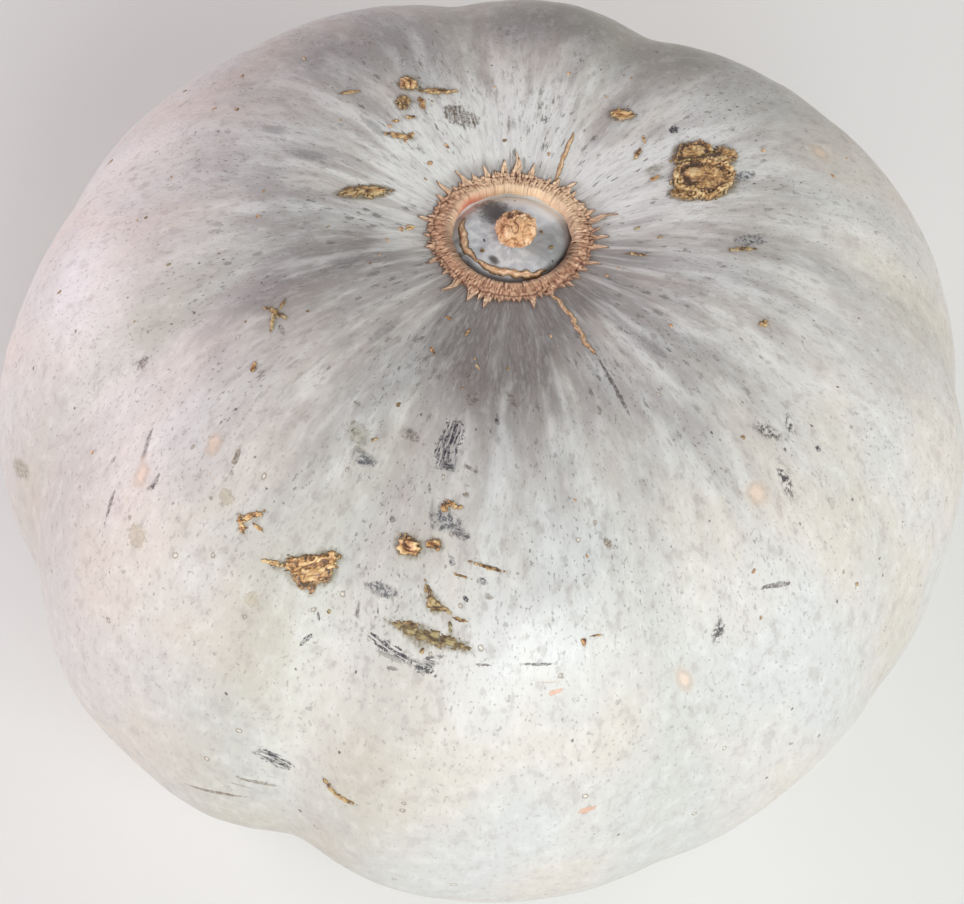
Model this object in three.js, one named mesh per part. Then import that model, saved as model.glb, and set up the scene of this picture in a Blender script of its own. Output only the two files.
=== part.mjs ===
// A ribbed grey-white pumpkin, sitting on its stem end with its blossom end up.
// Millimetres, +Z up. The origin is on the surface it rests on, under the middle of the fruit.
import * as THREE from "three";
import { mergeVertices } from "three/addons/utils/BufferGeometryUtils.js";

// The fruit's body, before its ribs and hollows.
const meanRadius = 125;
const crownHeight = 87.8; // above the widest level
const undersideDepth = 68.6; // below the widest level
const squareness = 3.11; // of the side profile: 2 is an ellipse, more is squarer
const outOfRound = [
  { waves: 1, cosine: -0.003, sine: -0.008 },
  { waves: 2, cosine: -0.002, sine: 0.02 },
  { waves: 3, cosine: -0.002, sine: 0.01 },
];

// Grooves between the ribs. Each starts at one bearing beside the blossom scar and
// reaches the flank at another. Depths are at the widest level.
const grooves = [
  { crown: 14, flank: 6.4, depth: 4.0 },
  { crown: 36, flank: 43.5, depth: 2.0 },
  { crown: 67, flank: 72.3, depth: 7.1 },
  { crown: 105, flank: 104.4, depth: 4.6 },
  { crown: 137, flank: 136.7, depth: 1.3 },
  { crown: 166, flank: 168.2, depth: 2.6 },
  { crown: 195, flank: 207.8, depth: 6.6 },
  { crown: 257, flank: 253.8, depth: 8.4 },
  { crown: 305, flank: 296.4, depth: 3.1 },
  { crown: 330, flank: 331, depth: 2.9 },
];
const grooveFloor = 3; // degrees, half-width of a groove's rounded bottom
const grooveSpread = 9; // degrees over which its sides climb to the ribs
const grooveLift = { crown: 0.65, underside: 1.7 }; // how far a groove also dents each end
// Shares of the way out from the axis, between which grooves deepen and change course.
const grooveFade = { crown: [0.1, 0.7], underside: [0.15, 0.5] };
const grooveTurn = [0.25, 0.75];

// Hollows at the two ends, and the flats that the fruit's weight rests on.
const blossomHollow = { depth: 13, radius: 41.6 };
const stemHollow = { depth: 30, radius: 40 };
const flatDepth = 59.6; // of the flats, below the widest level
const stemSeatHeight = 16.5; // above the flats
const stemHollowRows = [28, 21, 16]; // radii of the rows of points inside it

// The corky blossom scar: a raised ring around a domed disc, with the dried style on it.
const scarOffset = { x: -0.3, y: 1.1 }; // the crown leans this way from the flank's middle
const leanFade = [0.15, 0.9]; // shares of the way out, between which the lean dies away
const scarRing = { inner: 14.3, outer: 18.8, rise: 0.9, edge: 1.2 };
const discSag = 2.3; // from the disc's middle down to its rim
const scarSkirt = 4; // radius of the last row of points beyond the ring
const styleButton = { radius: 4.5, height: 6.2, foot: 3.8, offset: 0.9, clearance: 1 };
const styleProfile = [
  { radius: 0.4, height: 1 },
  { radius: 0.75, height: 0.87 },
  { radius: 0.96, height: 0.64 },
  { radius: 1, height: 0.4 },
  { radius: 0.96, height: 0.16 },
]; // shares of its radius and height, top to bottom
const styleLobes = 7;
const styleLobeDepth = 0.4;

// The cut stem stub, recessed in the stem hollow.
const stemStub = { seatRadius: 14.6, waistRadius: 12.4, endRadius: 13.2, clearance: 4 };
const stemSeatEdge = { inset: 0.6, drop: 1.2 };
const stemNeck = { outset: 0.6, drop: 4 };
const stemEndEdge = { inset: 1, rise: 1.6 };
const stemLobes = 5;
const stemLobeDepth = 0.7;
const stemCutTilt = 0.05; // slope of the cut end

const jointGap = 0.3; // between pieces that touch
const roundSteps = 108;
const innerRoundSteps = 54;
const stubRoundSteps = 40;
const rowSpacing = 9;

const radians = THREE.MathUtils.degToRad;

// 0 below start, 1 above end, smooth between.
function ramp(value, [start, end]) {
  return THREE.MathUtils.smoothstep(value, start, end);
}

function bearingBetween(bearing, other) {
  const difference = bearing - other;
  return Math.atan2(Math.sin(difference), Math.cos(difference));
}

// How deep the grooves are at a bearing. reach is 0 on the axis and 1 at the widest level.
function grooveDepth(bearing, reach, onCrown) {
  const towardsFlank = onCrown ? ramp(reach, grooveTurn) : 1;
  const fade = ramp(reach, onCrown ? grooveFade.crown : grooveFade.underside);
  const floor = radians(grooveFloor);
  let depth = 0;
  for (const groove of grooves) {
    const course = THREE.MathUtils.lerp(groove.crown, groove.flank, towardsFlank);
    const away = Math.hypot(bearingBetween(bearing, radians(course)), floor) - floor;
    depth += groove.depth * Math.exp(-away / radians(grooveSpread));
  }
  return depth * fade;
}

function roundness(bearing) {
  let share = 1;
  for (const { waves, cosine, sine } of outOfRound) {
    share += cosine * Math.cos(waves * bearing) + sine * Math.sin(waves * bearing);
  }
  return share;
}

function hollow({ depth, radius }, distance) {
  return depth * Math.exp(-((distance / radius) ** 2));
}

// Relief of the blossom scar at a distance from the axis.
function scarRelief(distance) {
  const { inner, outer, rise, edge } = scarRing;
  const onRing = ramp(distance, [inner - edge / 2, inner + edge / 2]);
  const offRing = ramp(distance, [outer - edge / 2, outer + edge / 2]);
  const sag = discSag * (Math.min(distance, inner) / inner) ** 2;
  return rise * (onRing - offRing) - sag * (1 - onRing);
}

// A point of the skin. polar runs from 0 at the blossom end to pi at the stem end.
function skinPoint(bearing, polar) {
  const reach = Math.max(Math.sin(polar), 0) ** (2 / squareness);
  const distance = reach * meanRadius;
  const upward = Math.cos(polar);
  const onCrown = upward > 0;
  const groove = grooveDepth(bearing, reach, onCrown);
  const radius = reach * (meanRadius * roundness(bearing) - groove);
  const lift = onCrown ? grooveLift.crown : grooveLift.underside;
  const flattening = 1 - (lift * groove) / meanRadius;
  let height = (onCrown ? crownHeight : undersideDepth) * upward * flattening;
  if (onCrown) {
    const scarMiddle = (scarRing.inner + scarRing.outer) / 2;
    height += flatDepth + scarRelief(distance);
    height -= hollow(blossomHollow, Math.max(distance, scarMiddle));
  } else {
    height += flatDepth + hollow(stemHollow, distance);
    height = Math.max(height, 0);
    if (distance < stemHollow.radius) {
      height = Math.min(height, stemSeatHeight);
    }
  }
  const lean = onCrown ? 1 - ramp(reach, leanFade) : 0;
  const x = radius * Math.cos(bearing) + lean * scarOffset.x;
  const y = radius * Math.sin(bearing) + lean * scarOffset.y;
  return new THREE.Vector3(x, y, height);
}

function polarAtRadius(radius, onCrown) {
  const polar = Math.asin((radius / meanRadius) ** (squareness / 2));
  return onCrown ? polar : Math.PI - polar;
}

// Polar angles between two others, about rowSpacing apart along the profile.
function evenPolars(start, end) {
  const fineSteps = 2000;
  const polars = [];
  let travelled = 0;
  let previous = skinPoint(0, start);
  for (let step = 1; step < fineSteps; step += 1) {
    const polar = THREE.MathUtils.lerp(start, end, step / fineSteps);
    const point = skinPoint(0, polar);
    travelled += point.distanceTo(previous);
    previous = point;
    if (travelled > rowSpacing) {
      polars.push(polar);
      travelled = 0;
    }
  }
  return polars;
}

// A closed surface through rows of points around the Z axis, first row to last,
// with a single point at each end. Rows may have different numbers of points.
function closedSurface(firstTip, rows, lastTip) {
  const positions = [...firstTip.toArray()];
  const starts = [];
  for (const row of rows) {
    starts.push(positions.length / 3);
    row.forEach((point) => positions.push(...point.toArray()));
  }
  const lastIndex = positions.length / 3;
  positions.push(...lastTip.toArray());
  const indices = [];
  const firstRow = rows[0];
  for (let i = 0; i < firstRow.length; i += 1) {
    indices.push(0, 1 + i, 1 + ((i + 1) % firstRow.length));
  }
  for (let k = 0; k + 1 < rows.length; k += 1) {
    stitchRows(indices, starts[k], rows[k].length, starts[k + 1], rows[k + 1].length);
  }
  const lastRow = rows.at(-1);
  const lastStart = starts.at(-1);
  for (let i = 0; i < lastRow.length; i += 1) {
    indices.push(lastIndex, lastStart + ((i + 1) % lastRow.length), lastStart + i);
  }
  const geometry = new THREE.BufferGeometry();
  geometry.setAttribute("position", new THREE.Float32BufferAttribute(positions, 3));
  geometry.setIndex(indices);
  return mergeVertices(geometry, 1e-4);
}

// Triangles between two neighbouring rows, walking round both together.
function stitchRows(indices, upperStart, upperCount, lowerStart, lowerCount) {
  let upper = 0;
  let lower = 0;
  while (upper < upperCount || lower < lowerCount) {
    const upperNow = upperStart + (upper % upperCount);
    const lowerNow = lowerStart + (lower % lowerCount);
    const moveUpper = lower >= lowerCount
      || (upper < upperCount && (upper + 0.5) / upperCount < (lower + 0.5) / lowerCount);
    if (moveUpper) {
      upper += 1;
      indices.push(upperNow, lowerNow, upperStart + (upper % upperCount));
    } else {
      lower += 1;
      indices.push(upperNow, lowerNow, lowerStart + (lower % lowerCount));
    }
  }
}

function ringOfPoints(steps, pointAt) {
  return Array.from({ length: steps }, (_, i) => pointAt((i / steps) * 2 * Math.PI));
}

// The whole fruit, with the scar ring on its crown and the stem hollow beneath.
function makeFruit() {
  const { inner, outer, edge } = scarRing;
  const scarRadii = [
    styleButton.radius + styleButton.clearance,
    inner - edge / 2,
    inner + edge / 2,
    (inner + outer) / 2,
    outer - edge / 2,
    outer + edge / 2,
    outer + scarSkirt,
  ];
  const crownPolars = scarRadii.map((radius) => polarAtRadius(radius, true));
  const stemPolars = stemHollowRows.map((radius) => polarAtRadius(radius, false));
  const flankPolars = evenPolars(crownPolars.at(-1), stemPolars[0]);
  const rowAt = (steps) => (polar) => ringOfPoints(steps, (bearing) => skinPoint(bearing, polar));
  const rows = [
    ...crownPolars.map(rowAt(innerRoundSteps)),
    ...flankPolars.map(rowAt(roundSteps)),
    ...stemPolars.map(rowAt(innerRoundSteps)),
  ];
  return closedSurface(skinPoint(0, 0), rows, skinPoint(0, Math.PI));
}

// A knob or stub from stations of { radius, height }, top to bottom, with soft lobes.
function makeStub(stations, lobes, lobeDepth, tilt) {
  const rows = stations.map(({ radius, height, tilted }) => ringOfPoints(stubRoundSteps, (bearing) => {
    const distance = radius - (lobeDepth * (1 + Math.cos(lobes * bearing))) / 2;
    const x = distance * Math.cos(bearing);
    return new THREE.Vector3(x, distance * Math.sin(bearing), height + (tilted ? tilt * x : 0));
  }));
  const top = new THREE.Vector3(0, 0, stations[0].height);
  const bottom = new THREE.Vector3(0, 0, stations.at(-1).height);
  return closedSurface(top, rows, bottom);
}

function makeStem() {
  const { seatRadius, waistRadius, endRadius, clearance } = stemStub;
  const top = stemSeatHeight - jointGap;
  const stations = [
    { radius: seatRadius - stemSeatEdge.inset, height: top },
    { radius: seatRadius, height: top - stemSeatEdge.drop },
    { radius: waistRadius + stemNeck.outset, height: top - stemNeck.drop },
    { radius: waistRadius, height: (top + clearance) / 2 },
    { radius: endRadius, height: clearance + stemEndEdge.rise, tilted: true },
    { radius: endRadius - stemEndEdge.inset, height: clearance, tilted: true },
  ];
  return makeStub(stations, stemLobes, stemLobeDepth, stemCutTilt);
}

// The dried base of the flower's style, in the middle of the scar disc.
function makeStyleButton(discHeight) {
  const { radius, height, foot } = styleButton;
  const base = discHeight + jointGap;
  const stations = styleProfile.map((share) => (
    { radius: radius * share.radius, height: base + height * share.height }
  ));
  stations.push({ radius: foot, height: base });
  return makeStub(stations, styleLobes, styleLobeDepth, 0);
}

function makePiece(name, geometry, look) {
  geometry.computeVertexNormals();
  const mesh = new THREE.Mesh(geometry, new THREE.MeshStandardMaterial(look));
  mesh.name = name;
  return mesh;
}

const rind = { color: 0xcdc9c4, roughness: 0.45, metalness: 0 };
const cork = { color: 0x9c7443, roughness: 0.85, metalness: 0 };
const driedStyle = { color: 0xbf8a5c, roughness: 0.8, metalness: 0 };

const fruitGeometry = makeFruit();
fruitGeometry.computeBoundingBox();
const middle = fruitGeometry.boundingBox.getCenter(new THREE.Vector3());

const pumpkin = new THREE.Group();
pumpkin.add(makePiece("fruit", fruitGeometry, rind));
pumpkin.add(makePiece("stem", makeStem(), cork));
const discHeight = skinPoint(0, 0).z;
const button = makePiece("style_button", makeStyleButton(discHeight), driedStyle);
button.position.set(scarOffset.x + styleButton.offset, scarOffset.y, 0);
pumpkin.add(button);
pumpkin.position.set(-middle.x, -middle.y, 0);
pumpkin.updateMatrixWorld(true);

export default pumpkin;
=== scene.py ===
import math

import bpy
import numpy as np
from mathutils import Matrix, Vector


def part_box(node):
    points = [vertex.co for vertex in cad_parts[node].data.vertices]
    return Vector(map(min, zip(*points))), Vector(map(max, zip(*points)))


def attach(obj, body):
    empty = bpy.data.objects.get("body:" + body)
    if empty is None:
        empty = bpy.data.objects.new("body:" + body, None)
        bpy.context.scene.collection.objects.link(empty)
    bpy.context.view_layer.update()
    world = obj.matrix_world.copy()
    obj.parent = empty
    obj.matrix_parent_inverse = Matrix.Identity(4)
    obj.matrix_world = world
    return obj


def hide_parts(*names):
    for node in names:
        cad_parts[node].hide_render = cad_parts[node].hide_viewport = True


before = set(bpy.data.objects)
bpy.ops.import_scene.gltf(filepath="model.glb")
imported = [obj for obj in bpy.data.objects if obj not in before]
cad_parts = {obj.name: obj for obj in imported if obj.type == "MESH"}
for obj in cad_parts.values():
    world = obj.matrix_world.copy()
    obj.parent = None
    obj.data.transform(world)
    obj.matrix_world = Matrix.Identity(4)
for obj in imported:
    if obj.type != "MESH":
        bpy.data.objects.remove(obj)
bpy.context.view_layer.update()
mm = 0.001
scene = bpy.context.scene


def ramp(value, start, end):
    share = np.clip((value - start) / (end - start), 0, 1)
    return share * share * (3 - 2 * share)


def colour(red, green, blue):  # from the usual 0 to 255
    def plain(level):
        level /= 255
        return level / 12.92 if level <= 0.04045 else ((level + 0.055) / 1.055) ** 2.4
    return (plain(red), plain(green), plain(blue), 1)


def bump(value, centre, width):
    return np.exp(-(((value - centre) / width) ** 2))


# Smooth random relief: a sum of waves that run in random directions.
def ripples(points, wavelength, seed, count=24):
    draw = np.random.default_rng(seed)
    total = np.zeros(points.shape[:-1])
    for _ in range(count):
        way = draw.normal(size=points.shape[-1])
        way *= draw.uniform(0.7, 1.4) * 2 * math.pi / (wavelength * np.linalg.norm(way))
        total += np.sin(points @ way + draw.uniform(0, 2 * math.pi))
    return total / math.sqrt(count / 2)


def newPiece(name, vertices, faces):
    mesh = bpy.data.meshes.new(name)
    mesh.from_pydata(vertices.tolist(), [], faces)
    mesh.validate()
    mesh.shade_smooth()
    piece = bpy.data.objects.new(name, mesh)
    scene.collection.objects.link(piece)
    return piece


# Stored for each point of a piece: a number, a vector of 3 or a colour of 4.
pointFields = {1: ("FLOAT", "value"), 3: ("FLOAT_VECTOR", "vector"), 4: ("FLOAT_COLOR", "color")}


def keepOnPoints(piece, **fields):
    for name, values in fields.items():
        numbers = np.asarray(values, dtype=np.float32).ravel()
        kind, field = pointFields[len(numbers) // len(piece.data.vertices)]
        attribute = piece.data.attributes.new(name, kind, "POINT")
        attribute.data.foreach_set(field, numbers)


def fullTurn(count):
    return np.arange(count) / count * 2 * math.pi


# Points of a circle, with any further coordinates after them.
def onCircle(bearing, radius, *others):
    return np.stack([np.cos(bearing) * radius, np.sin(bearing) * radius, *others], -1)


# Quads between neighbouring rows of a grid; around says whether the rows close on themselves.
def gridFaces(rows, columns, around=True):
    steps = columns if around else columns - 1
    faces = []
    for row in range(rows - 1):
        low, high = row * columns, (row + 1) * columns
        for i in range(steps):
            j = (i + 1) % columns
            faces.append((low + i, high + i, high + j, low + j))
    return faces


# The fruit's form: the same formula as the solid it dresses, in millimetres

fruitForm = {
    "meanRadius": 125,
    "crownHeight": 87.8,
    "undersideDepth": 68.6,
    "squareness": 3.11,
    "outOfRound": ((1, -0.003, -0.008), (2, -0.002, 0.02), (3, -0.002, 0.01)),
    # bearing beside the scar, bearing on the flank, depth
    "grooves": (
        (14, 6.4, 4.0), (36, 43.5, 2.0), (67, 72.3, 7.1), (105, 104.4, 4.6), (137, 136.7, 1.3),
        (166, 168.2, 2.6), (195, 207.8, 6.6), (257, 253.8, 8.4), (305, 296.4, 3.1),
        (330, 331, 2.9),
    ),
    "grooveFloor": 3,  # degrees, half-width of its rounded bottom
    "grooveSpread": 9,  # degrees over which its sides climb
    # shares of the way out: where a groove changes course, and where it deepens at each end
    "grooveTurn": (0.25, 0.75),
    "crownFade": (0.1, 0.7),
    "undersideFade": (0.15, 0.5),
    "crownLift": 0.65,
    "undersideLift": 1.7,
    "blossomHollow": (13, 41.6),  # depth, radius
    "stemHollow": (30, 40),
    "flatDepth": 59.6,
    "flatEdge": 0.5,  # how softly the flats and the stem's seat begin
    "stemSeat": 16.5,
    "seatEdge": 1.2,
    "scarOffset": (-0.3, 1.1),
    "leanFade": (0.15, 0.9),
    "ringInner": 14.3,
    "ringMiddle": 16.55,
    "ringEdge": 0.8,
    "discSag": 2.3,
}


def grooveDepth(bearing, reach, onCrown):
    form = fruitForm
    towardsFlank = np.where(onCrown, ramp(reach, *form["grooveTurn"]), 1)
    fade = np.where(
        onCrown, ramp(reach, *form["crownFade"]), ramp(reach, *form["undersideFade"]))
    floor = math.radians(form["grooveFloor"])
    depth = 0
    for crown, flank, full in form["grooves"]:
        course = np.radians(crown + (flank - crown) * towardsFlank)
        away = np.angle(np.exp(1j * (bearing - course)))
        away = np.hypot(away, floor) - floor
        depth = depth + full * np.exp(-away / math.radians(form["grooveSpread"]))
    return depth * fade


def hollowDepth(hollow, distance):
    depth, radius = hollow
    return depth * np.exp(-((distance / radius) ** 2))


# The bare skin in millimetres, with the fruit's axis at X = Y = 0. polar is 0 at the blossom end.
def bareSkin(bearing, polar):
    form = fruitForm
    reach = np.clip(np.sin(polar), 0, 1) ** (2 / form["squareness"])
    upward = np.cos(polar)
    onCrown = upward > 0
    groove = grooveDepth(bearing, reach, onCrown)
    waves = sum(
        cosine * np.cos(n * bearing) + sine * np.sin(n * bearing)
        for n, cosine, sine in form["outOfRound"]
    )
    radius = reach * (form["meanRadius"] * (1 + waves) - groove)
    lift = np.where(onCrown, form["crownLift"], form["undersideLift"])
    body = np.where(onCrown, form["crownHeight"], form["undersideDepth"])
    height = body * upward * (1 - lift * groove / form["meanRadius"]) + form["flatDepth"]
    distance = reach * form["meanRadius"]
    inner = form["ringInner"]
    sag = form["discSag"] * (np.minimum(distance, inner) / inner) ** 2
    crown = height - sag * (1 - ramp(distance, inner, inner + form["ringEdge"]))
    crown = crown - hollowDepth(form["blossomHollow"], np.maximum(distance, form["ringMiddle"]))
    beneath = height + hollowDepth(form["stemHollow"], distance)
    beneath = (beneath + np.hypot(beneath, form["flatEdge"])) / 2  # pressed flat where it rests
    seat = form["stemSeat"]
    over = beneath - seat
    seated = seat + (over - np.hypot(over, form["seatEdge"])) / 2
    beneath = np.where(distance < form["stemHollow"][1], seated, beneath)
    height = np.where(onCrown, crown, beneath)
    lean = np.where(onCrown, 1 - ramp(reach, *form["leanFade"]), 0)
    leanX, leanY = form["scarOffset"]
    x = radius * np.cos(bearing) + lean * leanX
    return np.stack([x, radius * np.sin(bearing) + lean * leanY, height], -1)


fineBearings = np.linspace(0, 2 * math.pi, 361)[None, :-1]
finePolars = np.linspace(0, math.pi, 400)[:, None]
outline = bareSkin(fineBearings, finePolars).reshape(-1, 3)
lowCorner, highCorner = (np.array(corner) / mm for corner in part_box("fruit"))
fruitShift = (lowCorner + highCorner - outline.min(0) - outline.max(0)) / 2
fruitShift[2] = 0

# Distances along the skin from the blossom end, on the profile without ribs.
profilePolars = np.linspace(0, math.pi, 4001)
profileReach = np.sin(profilePolars) ** (2 / fruitForm["squareness"])
profileRadius = profileReach * fruitForm["meanRadius"]
profileHeight = np.cos(profilePolars) * np.where(
    profilePolars < math.pi / 2, fruitForm["crownHeight"], fruitForm["undersideDepth"])
profileDistance = np.concatenate([[0], np.cumsum(np.hypot(
    np.diff(profileRadius), np.diff(profileHeight)))])
skinLength = profileDistance[-1]


def polarAt(distance):
    return np.interp(distance, profileDistance, profilePolars)


def radiusAt(distance):
    return np.interp(distance, profileDistance, profileRadius)


# Natural unevenness of the skin, in millimetres along its outward direction.
unevenness = {
    "swells": (0.4, 52),  # height, wavelength
    "dimples": (0.05, 11),
    "pleats": (0.07, 6),  # height, degrees of bearing: fine radial folds of the crown
    "discEdge": 0.8,  # how far the disc inside the scar ring is fuller towards its edge
}


def skinRelief(bearing, distance, points):
    swell, swellLength = unevenness["swells"]
    dimple, dimpleLength = unevenness["dimples"]
    pleat, pleatAngle = unevenness["pleats"]
    relief = swell * ripples(points, swellLength, 11) + dimple * ripples(points, dimpleLength, 12)
    folds = onCircle(bearing, 1, distance / 500)
    onCrown = ramp(distance, 18, 34) * (1 - ramp(distance, 70, 130))
    relief = relief * (0.25 + 0.75 * ramp(distance, 16, 50))
    relief = relief + unevenness["discEdge"] * bump(distance, 10.8, 3)
    return relief + pleat * onCrown * ripples(folds, math.radians(pleatAngle) * 2, 13)


# Points of the finished skin in metres, in the model's frame, raised by lift millimetres.
def skin(bearing, distance, lift=0):
    bearing, distance = np.broadcast_arrays(np.asarray(bearing, float), distance)
    polar = polarAt(distance)
    points = bareSkin(bearing, polar)
    step = 1e-3
    inward = np.where(polar > math.pi - 2 * step, -step, step)
    alongBearing = bareSkin(bearing + step, polar) - points
    alongPolar = (bareSkin(bearing, polar + inward) - points) * np.sign(inward)[..., None]
    outward = np.cross(alongPolar, alongBearing)
    length = np.linalg.norm(outward, axis=-1, keepdims=True)
    straight = np.stack([0 * polar, 0 * polar, np.cos(polar)], -1)
    outward = np.where(length > 1e-9, outward / np.maximum(length, 1e-9), np.sign(straight))
    relief = skinRelief(bearing, distance, points) * ramp(points[..., 2], 0.5, 9)
    points = points + outward * (relief + lift)[..., None]
    return (points + fruitShift) * mm


# Camera, floor and lights

viewPoint = {
    "elevation": 54.44,
    "roll": 7.46,
    "distance": 550,
    "lens": 78.78,
    "sensor": 36,
    "shift": (-0.0059, -0.0216),
}


def placeCamera():
    settings = viewPoint
    camera = bpy.data.objects.new("camera", bpy.data.cameras.new("camera"))
    scene.collection.objects.link(camera)
    scene.camera = camera
    camera.data.sensor_width = settings["sensor"]
    camera.data.lens = settings["lens"]
    camera.data.shift_x, camera.data.shift_y = settings["shift"]
    camera.data.clip_start = 0.01
    rise = math.radians(settings["elevation"])
    away = np.array([0, -math.cos(rise), math.sin(rise)]) * settings["distance"]
    target = fruitShift + [0, 0, fruitForm["flatDepth"]]
    camera.location = (target + away) * mm
    camera.rotation_euler = (math.pi / 2 - rise, 0, 0)
    camera.rotation_mode = "XYZ"
    camera.rotation_euler.rotate_axis("Z", math.radians(settings["roll"]))


lampAim = 0.07  # metres above the floor
lamps = {
    # bearing of the lamp seen from above (270 is the viewer's side), elevation, distance,
    # size, power, colour
    "leftWindow": (165, 8, 1.3, 1.2, 16, (1, 0.85, 0.94)),
    "leftFront": (214, 12, 1.3, 0.9, 5.2, (1, 0.87, 0.84)),
    "front": (281, 28, 1.3, 0.5, 6, (0.95, 0.98, 1)),
    "frontRight": (302, 32, 1.3, 0.9, 9.2, (0.94, 0.99, 0.97)),
    "right": (330, 18, 1.3, 0.9, 2.2, (1, 0.9, 0.95)),
    "backRight": (30, 24, 1.3, 0.9, 5.9, (1, 0.96, 0.9)),
}


def placeLights():
    for name, (bearing, rise, distance, size, power, tint) in lamps.items():
        light = bpy.data.lights.new(name, "AREA")
        light.shape = "DISK"
        light.size = size
        light.energy = power
        light.color = tint
        lamp = bpy.data.objects.new(name, light)
        scene.collection.objects.link(lamp)
        turn, lift = math.radians(bearing), math.radians(rise)
        way = onCircle(turn, math.cos(lift), math.sin(lift))
        lamp.location = way * distance + [0, 0, lampAim]
        lamp.rotation_euler = (math.pi / 2 - lift, 0, turn + math.pi / 2)


# Shader maths

class Wire:
    # One output of a node, so that materials can be written as sums.
    def __init__(self, shader, socket):
        self.shader = shader
        self.socket = socket

    # another output of the same node
    def other(self, output):
        return Wire(self.shader, self.socket.node.outputs[output])

    def maths(self, operation, *operands):
        inputs = dict(enumerate(operands))
        return self.shader.add("ShaderNodeMath", {"operation": operation}, inputs)

    def __add__(self, other):
        return self.maths("ADD", self, other)

    def __radd__(self, other):
        return self.maths("ADD", other, self)

    def __sub__(self, other):
        return self.maths("SUBTRACT", self, other)

    def __rsub__(self, other):
        return self.maths("SUBTRACT", other, self)

    def __mul__(self, other):
        return self.maths("MULTIPLY", self, other)

    def __rmul__(self, other):
        return self.maths("MULTIPLY", other, self)

    def __truediv__(self, other):
        return self.maths("DIVIDE", self, other)

    def __rtruediv__(self, other):
        return self.maths("DIVIDE", other, self)

    def absolute(self):
        return self.maths("ABSOLUTE", self)

    def largest(self, other):
        return self.maths("MAXIMUM", self, other)

    # 0 at start, 1 at end, smooth between; start may be the larger of the two
    def between(self, start, end):
        inputs = {0: self, 1: start, 2: end}
        settings = {"interpolation_type": "SMOOTHSTEP"}
        return self.shader.add("ShaderNodeMapRange", settings, inputs)

    # this colour, with another laid over it in some share
    def coated(self, share, paint):
        return self.shader.blend(share, self, paint)


class Shader:
    # A material with one Principled surface, or a world, and the nodes that feed it.
    def __init__(self, name, world=None):
        self.owner = world or bpy.data.materials.new(name)
        self.owner.use_nodes = True
        self.tree = self.owner.node_tree
        self.surface = self.tree.nodes["Background" if world else "Principled BSDF"]

    def feed(self, socket, value):
        if isinstance(value, Wire):
            self.tree.links.new(value.socket, socket)
        else:
            socket.default_value = value

    def add(self, kind, settings=None, inputs=None, output=0):
        node = self.tree.nodes.new(kind)
        for key, value in (settings or {}).items():
            setattr(node, key, value)
        for key, value in (inputs or {}).items():
            self.feed(node.inputs[key], value)
        return Wire(self, node.outputs[output])

    def onPoints(self, name, output="Fac"):
        return self.add("ShaderNodeAttribute", {"attribute_name": name}, output=output)

    def blend(self, share, first, second):
        pick = {"data_type": "RGBA", "clamp_factor": True}
        return self.add("ShaderNodeMix", pick, {0: share, 6: first, 7: second}, 2)

    def vector(self, operation, first, second):
        key = 3 if operation == "SCALE" else 1  # a length is its second output
        return self.add("ShaderNodeVectorMath", {"operation": operation}, {0: first, key: second})

    def noise(self, place, size, detail=2, rough=0.5):
        inputs = {"Vector": place, "Scale": 1 / size, "Detail": detail, "Roughness": rough}
        return self.add("ShaderNodeTexNoise", {}, inputs)

    def channel(self, vector, name):
        if name in ("Red", "Green", "Blue"):
            index = ("Red", "Green", "Blue").index(name)
            return self.add("ShaderNodeSeparateColor", {}, {0: vector}, index)
        return self.add("ShaderNodeSeparateXYZ", {}, {0: vector}, "XYZ".index(name))

    # height is in millimetres
    def bump(self, height, strength):
        inputs = {"Strength": strength, "Distance": mm, "Height": height}
        return self.add("ShaderNodeBump", {}, inputs)

    def finish(self, **inputs):
        for key, value in inputs.items():
            self.feed(self.surface.inputs[key.replace("_", " ")], value)
        return self.owner


# The skin around a spot is unrolled like the cone that touches it there. This gives the
# fruit's radius at the spot, and how far along the skin the cone's tip lies from it.
flattestSlope = 0.02


def touchingCone(distance):
    radius = float(radiusAt(distance))
    slope = float(radiusAt(distance + 0.5) - radiusAt(distance - 0.5))
    if abs(slope) <= flattestSlope:
        slope = flattestSlope
    return radius, radius / slope


# The bearing and skin distance of a place some millimetres from a spot: outward from the
# blossom end, and east, which is towards higher bearings.
def nearby(bearing, distance, out, east):
    radius, apex = touchingCone(distance)
    side = math.copysign(1, apex)
    reach = side * np.hypot(apex + out, east)
    turn = np.arctan2(side * east, side * (apex + out))
    return math.radians(bearing) + turn * apex / radius, distance + reach - apex


# How far outward and east a place is, from its millimetres along and across a turned mark.
def outAndEast(along, across, turn):
    tilt = math.radians(turn)
    out = along * math.cos(tilt) - across * math.sin(tilt)
    east = along * math.sin(tilt) + across * math.cos(tilt)
    return out, east


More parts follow.
